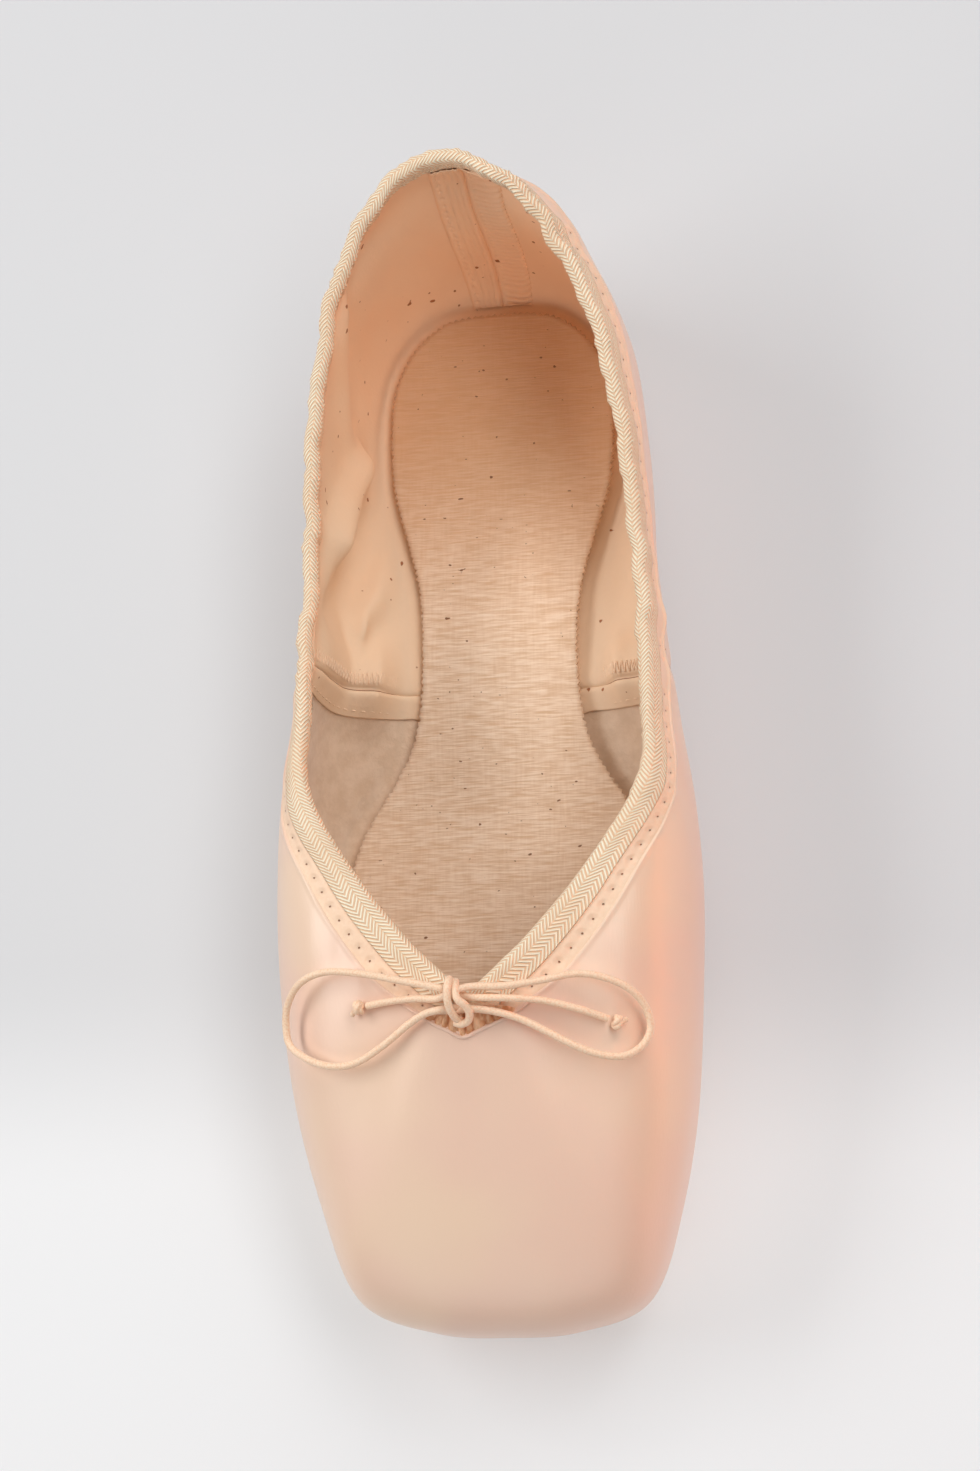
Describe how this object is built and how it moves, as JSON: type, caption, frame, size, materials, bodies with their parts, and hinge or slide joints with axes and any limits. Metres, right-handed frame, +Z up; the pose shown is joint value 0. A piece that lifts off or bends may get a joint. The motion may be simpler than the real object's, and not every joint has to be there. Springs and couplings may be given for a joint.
{
  "type": "pointe shoe",
  "caption": "Satin pointe shoe with a stiff square-ended toe box, taped collar, canvas insole, leather outsole and a tied drawstring bow on the vamp.",
  "frame": {"origin": "on the floor under the middle of the shoe's length and width", "axes": "+Z up, -Y from the heel towards the toe platform, +X to the side that the picture shows on the right"},
  "size_m": [0.088, 0.2416, 0.0629],
  "materials": {
    "satin": "soft satin sheen, pale peach",
    "tape": "matt cotton herringbone tape",
    "canvas": "matt plain-weave canvas",
    "leather": "matt suede-faced leather",
    "cord": "smooth elastic cord, pale peach"
  },
  "bodies": {
    "root": {"upper": "satin", "outsole": "leather", "insole": "canvas", "collar_tape": "tape", "bow_knot": "cord", "bow_loop_left": "cord", "bow_loop_right": "cord", "cord_end_left": "cord", "cord_end_right": "cord", "end_knot_left": "cord", "end_knot_right": "cord"}
  },
  "joints": []
}
